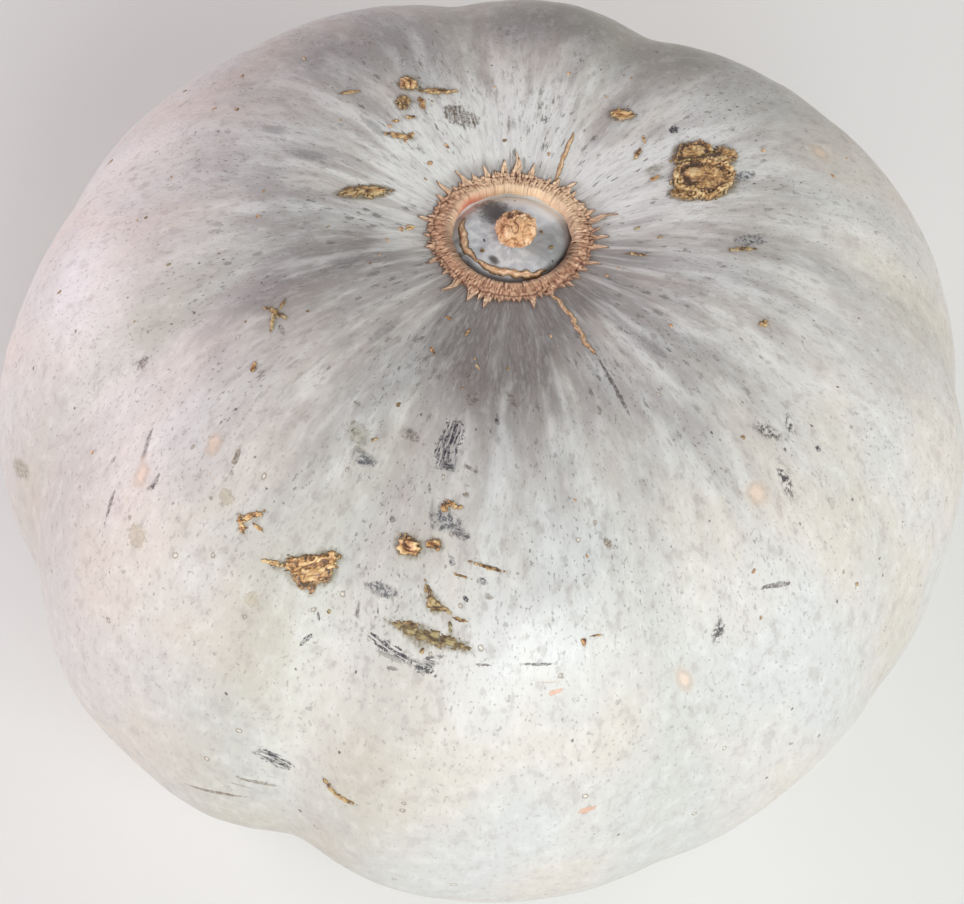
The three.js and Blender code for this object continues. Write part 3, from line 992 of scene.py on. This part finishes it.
def buildRing():
    look = ringLook
    bearings = fullTurn(look["bearings"])
    outer = ringOutline(bearings)
    way = onCircle(bearings, look["middle"])
    foot = look["foot"] + 0.05 * ripples(way, 7, 34) + 0.3 * np.sin(bearings)
    share = np.linspace(0, 1, look["rows"])[:, None]
    share = np.where(share < 0.2, share * 0.5, 0.1 + (share - 0.2) * 0.9 / 0.8)
    distance = foot + (outer - foot) * share
    bearing = np.broadcast_to(bearings, distance.shape)
    around = onCircle(bearing, look["middle"], distance)
    onSpike = ramp(distance, look["outer"] - 0.5, look["outer"] + 2)
    bearing = bearing + 0.009 * ripples(around, 5.0, 35) * onSpike
    toEdge = outer - distance
    fromFoot = distance - foot
    crest = ramp(fromFoot, -0.1, look["crest"])
    lift = look["rise"] * crest * (1 - 0.5 * ramp(distance, 16.4, look["outer"] + 0.6))
    lift = lift - 0.5 * (1 - crest)
    cloth = around * [1, 1, 1 / 4.5]
    fibres = ripples(cloth, 0.5, 36, 40)
    bundles = ripples(cloth, 1.3, 37)
    lumps = ripples(around, 1.0, 38)
    pits = ramp(ripples(around, 1.5, 41), 1.1, 2.0)
    seamAt = look["outer"] - 0.7 + 0.25 * ripples(way, 3, 39)
    seam = bump(distance, seamAt, 0.2) * (toEdge > 0.2)
    rough = ramp(distance, 15.5, 17.5)
    relief = 0.05 * fibres + 0.03 * bundles + (0.02 + 0.05 * rough) * lumps
    relief = relief - 0.25 * seam - 0.14 * pits * rough
    inside = ramp(toEdge, 0, 0.28)
    top = -0.35 + (lift + relief * crest + 0.35) * inside
    piece = newPiece(
        "blossom_ring", skin(bearing, distance, top).reshape(-1, 3), gridFaces(*distance.shape))
    fibre = 0.5 + 0.12 * fibres + 0.08 * bundles + 0.06 * lumps * rough - 0.26 * pits * rough
    turned = np.degrees(bearing)
    side = np.maximum(bump(turned, 345, 40), bump(turned, 205, 34))
    keepOnPoints(
        piece,
        fibre=fibre,
        toEdge=toEdge,
        fromFoot=fromFoot,
        onSpike=onSpike,
        seam=seam,
        flush=bump(turned, 142, 22) * (1 - ramp(fromFoot, 0.5, 0.9)),
        # painted light on the ring's far side
        rear=ramp(np.sin(bearing + 0.15), 0.2, 0.85),
        shaded=side * (1 - ramp(fromFoot, 1, 2.6)),
        cloth=cloth,
    )
    piece.data.materials.append(ringMaterial())
    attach(piece, "root")
    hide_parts("fruit")


def ringMaterial():
    look = ringLook
    shader = Shader("ringCork")
    fromFoot = shader.onPoints("fromFoot")
    cloth = shader.onPoints("cloth", "Vector")
    threads = shader.noise(cloth, 0.28, 3, 0.6)
    fibre = shader.onPoints("fibre") + (threads - 0.5) * 1.1
    base = shader.blend(fibre.between(0.25, 0.7), look["brown"], look["tan"])
    base = base.coated(fibre.between(0.62, 1.0) * 0.8, look["gold"])
    # painted light: the inner wall paler and more golden
    base = base.coated(fromFoot.between(2.2, 0.6) * 0.7, look["gold"])
    base = base.coated(shader.onPoints("onSpike") * 0.7, look["gold"])
    base = base.coated(shader.onPoints("seam") * 0.6, look["dark"])
    base = base.coated(fibre.between(0.28, 0.06) * 0.8, look["dark"])
    # painted light: the ring's far side paler
    base = base.coated(shader.onPoints("rear") * fibre.between(0.1, 0.7) * 0.7, look["pale"])
    base = base.coated(shader.onPoints("shaded") * 0.6, look["dark"])
    rim = shader.onPoints("toEdge").between(0.42, 0.16)
    base = base.coated(rim * 0.8, look["dark"])
    base = base.coated(shader.onPoints("flush") * 0.8, look["red"])
    relief = threads * 0.1
    return shader.finish(Base_Color=base, Roughness=0.62, Normal=shader.bump(relief, 0.8))


# Raised cork scars

scarLook = {
    "step": 0.22,  # between points
    "fineStep": 0.16,  # the same on scars that are narrow
    "narrow": 2.5,
    "dark": colour(66, 44, 24),
    "rim": colour(128, 104, 66),
    "brown": colour(130, 90, 54),
    "gold": colour(206, 156, 100),
    # pale is a painted highlight on the highest crests
    "pale": colour(248, 216, 162),
    "russet": colour(184, 130, 90),
    "bark": colour(94, 84, 58),
    "straw": colour(156, 144, 102),
    "tan": colour(204, 158, 118),
    "cream": colour(232, 198, 162),
    "roughness": 0.36,
}


# Height of a scab above the skin and its colouring, on a grid of points across it.
def scabRelief(here, scar, seed):
    _, _, length, width, _, rise, point, _ = scar
    along, across = here[..., 0], here[..., 1]
    share = np.clip(np.abs(along) * 2 / length, 0, 1)
    half = width / 2 * (1 - share ** 2) ** (0.5 + 0.5 * point)
    edge = np.minimum(half - np.abs(across), length / 2 - np.abs(along))
    frayed = min(width, 8) * 0.07
    edge = edge + frayed * ripples(here, max(width * 0.9, 1.8), seed)
    edge = edge + min(0.07 * width, 0.3) * ripples(here, 1.1, seed + 1)
    inside = ramp(edge, 0, min(0.45, width / 4))
    inward = ramp(edge, 0, min(1.5, width / 2.4))
    bent = here + 0.9 * np.stack([ripples(here, 4.5, seed + 2), ripples(here, 4.5, seed + 3)], -1)
    lumps = ripples(here * [0.8, 1], max(2.6, width * 0.45), seed + 4)
    strands = ripples(bent * [0.28, 1], 1.5, seed + 5)
    crease = np.maximum(bump(strands, -0.9, 0.35), 0.8 * bump(lumps, -0.8, 0.25))
    crest = 0.56 + 0.14 * lumps + 0.1 * strands - 0.32 * crease
    rim = bump(edge, 0.6, 0.35) * (width > 4)
    crest = crest + 0.15 * rim
    if width > 5.5:
        uneven = 0.75 + 0.35 * ripples(here, 5.0, seed + 6)
        moat = bump(edge, 0.2 * width, 0.09 * width) * uneven
        basin = 0.62 + 0.12 * lumps + 0.05 * strands - 0.2 * crease - 0.62 * moat
        crest = basin + 0.3 * bump(edge, 0.09 * width, 0.05 * width)
    crest = np.clip(crest, 0, 1)
    height = -0.2 + (0.2 + rise * (0.4 + 0.6 * crest) * ramp(inward, 0, 0.7)) * inside
    return height, inside, inward, crest


def seamGrid(course, width, rise, seed):
    course = np.array(course)
    stops = np.arange(len(course))
    x = course[:, 1] * np.cos(np.radians(course[:, 0]))
    y = course[:, 1] * np.sin(np.radians(course[:, 0]))
    fine = np.linspace(0, len(course) - 1, 40 * len(course))
    x = np.interp(fine, stops, x)
    y = np.interp(fine, stops, y)
    for _ in range(3):  # soften the corners
        x[12:-12] = (x[:-24] + x[12:-12] * 2 + x[24:]) / 4
        y[12:-12] = (y[:-24] + y[12:-12] * 2 + y[24:]) / 4
    way = np.hypot(np.gradient(x), np.gradient(y))
    travelled = np.cumsum(way)
    sideX, sideY = np.gradient(y) / way, -np.gradient(x) / way
    across = np.linspace(-1, 1, 15)[:, None] * width * 0.75
    wander = 0.14 * ripples(travelled[:, None], 5.0, seed)
    length = travelled[-1]
    ends = np.clip(np.minimum(travelled, length - travelled) / (2.2 * width), 0, 1) ** 0.5
    half = width / 2 * ends * (1 + 0.07 * ripples(travelled[:, None], 3.0, seed + 1))
    here = np.stack(np.broadcast_arrays(travelled, across), -1)
    edge = half - np.abs(across) + 0.03 * ripples(here, 0.9, seed + 2)
    inside = ramp(edge, -0.05, 0.22)
    inward = ramp(edge, 0.02, width * 0.5)
    crest = np.clip(0.62 + 0.13 * ripples(here * [0.35, 1], 0.7, seed + 3), 0, 1)
    height = -0.2 + (0.2 + rise * inward * (0.4 + 0.6 * crest)) * inside
    gridX = x + sideX * (across + wander)
    gridY = y + sideY * (across + wander)
    bearing = np.arctan2(gridY, gridX)
    return bearing, np.hypot(gridX, gridY), height, inside, inward, crest, here


def allScars():
    settings = strewnFlakes
    draw = np.random.default_rng(settings["seed"])
    flakes = []
    for _ in range(settings["count"]):
        distance = settings["nearest"] + (
            settings["farthest"] - settings["nearest"]) * draw.uniform() ** 1.3
        length = draw.uniform(*settings["size"])
        flakes.append((
            draw.uniform(0, 360), distance, length, length * draw.uniform(0.45, 0.9),
            draw.uniform(-50, 50), 0.3, 0.5, draw.uniform(1.1, 2)))
    return (*corkScars, *flakes)


def buildScars():
    grids = []
    for seed, scar in enumerate(allScars()):
        bearing, distance, length, width, turn, _, _, tone = scar
        step = scarLook["step"] if width > scarLook["narrow"] else scarLook["fineStep"]
        along = np.arange(-0.68 * length - step, 0.68 * length + 2 * step, step)
        across = np.arange(-0.72 * width - 3 * step, 0.72 * width + 4 * step, step)
        here = np.stack(np.meshgrid(along, across), -1)
        marks = scabRelief(here, scar, 100 + 9 * seed)
        where = nearby(bearing, distance, *outAndEast(here[..., 0], here[..., 1], turn))
        grids.append((*where, *marks, here, tone))
    for seed, (course, width, rise, tone) in enumerate(corkSeams):
        grids.append((*seamGrid(course, width, rise, 900 + 9 * seed), tone))
    vertices, faces, shades, places = [], [], [], []
    start = 0
    for seed, (bearing, distance, height, inside, inward, crest, here, tone) in enumerate(grids):
        points = skin(bearing, distance, height).reshape(-1, 3)
        shown = (inside > 0.02).ravel()
        kept = [face for face in gridFaces(*bearing.shape, around=False)
                if any(shown[i] for i in face)]
        used = np.unique(np.array(kept).ravel())
        renumber = np.zeros(bearing.size, int)
        renumber[used] = np.arange(len(used)) + start
        faces.extend(tuple(renumber[i] for i in face) for face in kept)
        vertices.append(points[used])
        shade = np.stack([inward, crest, 0 * crest + tone], -1)
        shades.append(shade.reshape(-1, 3)[used])
        place = np.append(here, 0 * here[..., :1] + seed * 9, -1)
        places.append(place.reshape(-1, 3)[used])
        start += len(used)
    piece = newPiece("cork_scars", np.concatenate(vertices), faces)
    keepOnPoints(piece, shade=np.concatenate(shades), place=np.concatenate(places))
    piece.data.materials.append(scarMaterial())
    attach(piece, "root")
    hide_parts("fruit")


def scarMaterial():
    look = scarLook
    shader = Shader("scarCork")
    shade = shader.onPoints("shade", "Vector")
    place = shader.onPoints("place", "Vector")
    inward = shader.channel(shade, "X")
    tone = shader.channel(shade, "Z")
    grain = shader.noise(shader.vector("MULTIPLY", place, (0.6, 1, 1)), 0.6, 3)
    strands = shader.noise(shader.vector("MULTIPLY", place, (0.2, 1, 1)), 0.5, 2)
    crest = shader.channel(shade, "Y") + (grain - 0.5) * 0.5 + (strands - 0.5) * 0.8
    golden = shader.blend(crest.between(0.26, 0.52), look["brown"], look["gold"])
    # painted highlight: the highest crests pale
    golden = golden.coated(crest.between(0.54, 0.86), look["pale"])
    patches = shader.noise(place, 3.0, 2)
    golden = golden.coated(patches.between(0.5, 0.64) * 0.35, look["russet"])
    olive = shader.blend(crest.between(0.3, 0.7), look["bark"], look["straw"])
    base = shader.blend(tone, golden, olive)
    tan = shader.blend(crest.between(0.5, 0.8), look["tan"], look["cream"])
    base = base.coated(tone - 1, tan)
    # painted shade in the deepest creases
    base = base.coated(crest.between(0.25, 0.1) * 0.85, look["dark"])
    edge = inward + (grain - 0.5) * 0.5
    base = base.coated(edge.between(0.7, 0.35) * 0.7, look["rim"])
    base = base.coated(edge.between(0.32, 0.1) * 0.8, look["dark"])
    relief = grain * 0.1 + strands * 0.3
    return shader.finish(
        Base_Color=base, Roughness=look["roughness"], Normal=shader.bump(relief, 0.8))


# The dried base of the style, in the middle of the scar disc

buttonLook = {
    "bearings": 120,
    "radius": 4.7,
    "height": 6.5,
    "sunk": 0.4,  # of which below the solid's foot
    "lumps": (0.12, 3.0),  # height, wavelength
    "dark": colour(84, 48, 30),
    "brown": colour(176, 124, 84),
    "tan": colour(222, 174, 130),
    "pale": colour(242, 208, 170),
}


def buildButton():
    look = buttonLook
    low, high = (np.array(corner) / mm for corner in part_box("style_button"))
    middle = (low + high) / 2
    count = look["bearings"]
    polars = np.linspace(0.03, math.radians(112), 46)
    bearing, polar = np.meshgrid(fullTurn(count), polars)
    centreHeight = look["height"] * 0.42
    upper = look["height"] - centreHeight
    way = onCircle(bearing, np.sin(polar), np.cos(polar))
    ball = way * look["radius"]
    lumps = ripples(ball, look["lumps"][1], 51)
    rough = look["lumps"][0] * lumps
    fine = 0.1 * ripples(ball, 0.9, 52)
    # cracks on the upper back-left side, darkened there together with painted shade of that side
    cracksAndShade = bump(ripples(ball, 4, 53, 8), 0, 0.24)
    cracksAndShade = cracksAndShade * ramp(way @ np.array([-0.45, 0.6, 0.66]), 0.1, 0.6)
    creases = bump(ripples(ball, 4.2, 54, 8), 0, 0.12)
    cracksAndShade = np.maximum(cracksAndShade, creases)
    # painted shade: the upper back-left side, away from the light, sunk a little and darkened
    shadedSide = ramp(ripples(ball, 2.4, 56), -0.1, 0.5)
    shadedSide = shadedSide * ramp(way @ np.array([-0.5, 0.72, 0.48]), 0.5, 0.8)
    cracksAndShade = np.maximum(cracksAndShade, shadedSide)
    swell = 1 + (rough + fine - 0.7 * cracksAndShade) / look["radius"]
    size = np.where(way[..., 2] > 0, upper, centreHeight * 1.6)
    points = way * np.stack([0 * size + look["radius"], 0 * size + look["radius"], size], -1)
    centre = np.array([middle[0], middle[1], low[2] - look["sunk"] + centreHeight])
    points = (points * swell[..., None] + centre).reshape(-1, 3)
    tip = [centre + [0, 0, upper * swell[0].mean()]]
    vertices = np.concatenate([points, tip]) * mm
    faces = gridFaces(*bearing.shape)
    faces += [(len(points), i, (i + 1) % count) for i in range(count)]
    piece = newPiece("style_knob", vertices, faces)
    keepOnPoints(
        piece, crack=np.append(cracksAndShade, 0), lump=np.append(lumps, 0), place=vertices / mm)
    shader = Shader("driedStyle")
    place = shader.onPoints("place", "Vector")
    grain = shader.noise(place, 0.7, 3, 0.6)
    lump = shader.onPoints("lump") * 0.1 + grain
    base = shader.blend(lump.between(0.25, 0.5), look["brown"], look["tan"])
    base = base.coated(lump.between(0.5, 0.8), look["pale"])
    # dark cracks and the painted shade of the upper back-left side
    base = base.coated(shader.onPoints("crack") * 0.9, look["dark"])
    # painted shade: darker towards its foot on the disc
    rise = shader.channel(place, "Z")
    base = base.coated(rise.between(low[2] + 1.2, low[2] + 0.2) * 0.5, look["brown"])
    piece.data.materials.append(shader.finish(
        Base_Color=base, Roughness=0.6, Normal=shader.bump(grain * 0.2, 0.8)))
    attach(piece, "root")
    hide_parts("style_button")


# The cut stem, in the hollow under the fruit

stemLook = {
    "bearings": 200,
    # radius and height of its outline, from the fruit down to the cut
    "outline": ((14.0, 16.2), (14.6, 15.0), (13.0, 12.2), (12.4, 10.1), (13.2, 5.6), (12.4, 4.1)),
    "lobes": (5, 0.7),  # how many, how deep
    "cutTilt": 0.05,
    "fissures": (0.7, 3.4),  # depth, spacing
    "dark": colour(78, 56, 36),
    "brown": colour(146, 112, 76),
    "pale": colour(200, 172, 132),
    "pith": colour(222, 202, 164),
}


def buildStem():
    look = stemLook
    radii, heights = np.array(look["outline"]).T
    stops = np.linspace(0, 1, 60)
    corners = np.linspace(0, 1, len(radii))
    inward = np.linspace(0.97, 0.03, 24)
    radius = np.append(np.interp(stops, corners, radii), radii[-1] * inward)
    height = np.append(np.interp(stops, corners, heights), heights[-1] + 0 * inward)
    onCut = np.append(0 * stops, 1 + 0 * inward)
    sides = look["bearings"]
    bearings = fullTurn(sides)
    radius, height, onCut = (value[:, None] + 0 * bearings for value in (radius, height, onCut))
    bearing = bearings + 0 * radius
    count, depth = look["lobes"]
    lobes = depth * (1 + np.cos(count * bearing)) / 2 * radius / radii[-1]
    way = onCircle(bearing, 13, height / 3)
    fissureDepth, spacing = look["fissures"]
    fissures = bump(ripples(way, spacing, 61, 12), 0, 0.2)
    bark = ripples(way, 1.2, 62)
    rough = ramp(16 - height, 0, 1.5) * (1 - onCut)
    distance = radius - lobes + (0.14 * bark - fissureDepth * fissures) * rough
    x, y = distance * np.cos(bearing), distance * np.sin(bearing)
    rays = ripples(onCircle(bearing, 9), 1.6, 63)
    dish = onCut * (0.9 * (1 - (radius / radii[-1]) ** 2) + 0.1 * rays)
    z = height + look["cutTilt"] * x * ramp(10 - height, 0, 4.4) + dish
    points = np.stack([x, y, z], -1).reshape(-1, 3)
    vertices = np.append(points, [[0, 0, z[-1].mean()]], 0) + fruitShift
    last = len(points) - sides
    faces = gridFaces(*radius.shape)
    faces += [(last + (i + 1) % sides, last + i, len(points)) for i in range(sides)]
    faces += [tuple(range(sides))]
    piece = newPiece("cut_stem", vertices * mm, [face[::-1] for face in faces])
    keepOnPoints(
        piece, crack=np.append(fissures * (1 - onCut), 0), onCut=np.append(onCut, 1),
        ray=np.append(rays, 0), fromAxis=np.append(radius, 0))
    shader = Shader("driedStem")
    grain = shader.noise(shader.add("ShaderNodeTexCoord", output=3), 0.0012, 3, 0.6)
    base = shader.blend(grain.between(0.35, 0.65), look["brown"], look["pale"])
    base = base.coated(shader.onPoints("crack") * 0.85, look["dark"])
    fibres = shader.onPoints("ray") * 0.2 + grain
    cut = shader.blend(fibres.between(0.3, 0.75), look["brown"], look["pith"])
    cut = shader.blend(shader.onPoints("fromAxis").between(4.2, 2.6) * 0.6, cut, look["dark"])
    base = base.coated(shader.onPoints("onCut"), cut)
    piece.data.materials.append(shader.finish(
        Base_Color=base, Roughness=0.75, Normal=shader.bump(grain * 0.3, 0.8)))
    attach(piece, "root")
    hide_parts("stem")


studioLook = {
    "floorSize": 6,  # metres
    "floor": colour(206, 206, 204),
    "floorGlow": (colour(228, 228, 226), 0.3),  # only seen, so that it doesn't light the fruit
    "backdrop": colour(244, 244, 244),
    "backdropLight": 0.04,  # share of the backdrop's brightness that lights the scene
}


def buildFloor():
    look = studioLook
    bpy.ops.mesh.primitive_plane_add(size=look["floorSize"])
    floor = bpy.context.object
    floor.name = "floor"
    shader = Shader("paleFloor")
    glow, strength = look["floorGlow"]
    seen = shader.blend(seenDirectly(shader), colour(0, 0, 0), glow)
    floor.data.materials.append(shader.finish(
        Base_Color=look["floor"], Roughness=0.9, Emission_Color=seen,
        Emission_Strength=strength))


# 1 for the camera's rays and for what gloss and glass show of the studio, 0 for its light
def seenDirectly(shader):
    camera = shader.add("ShaderNodeLightPath")
    gloss = camera.other("Is Glossy Ray")
    return camera.largest(gloss).largest(camera.other("Is Transmission Ray"))


def placeWorld():
    scene.world = bpy.data.worlds.new("studio")
    shader = Shader("studio", scene.world)
    share = studioLook["backdropLight"]
    strength = share + (1 - share) * seenDirectly(shader)
    shader.finish(Color=studioLook["backdrop"], Strength=strength)


placeCamera()
placeLights()
buildFloor()
placeWorld()
scene.view_settings.view_transform = "Standard"
stages = {
    "rind": buildRind, "scar ring": buildRing, "cork scars": buildScars, "style": buildButton,
    "stem": buildStem,
}
for stage, build in stages.items():
    print("building the", stage)
    build()
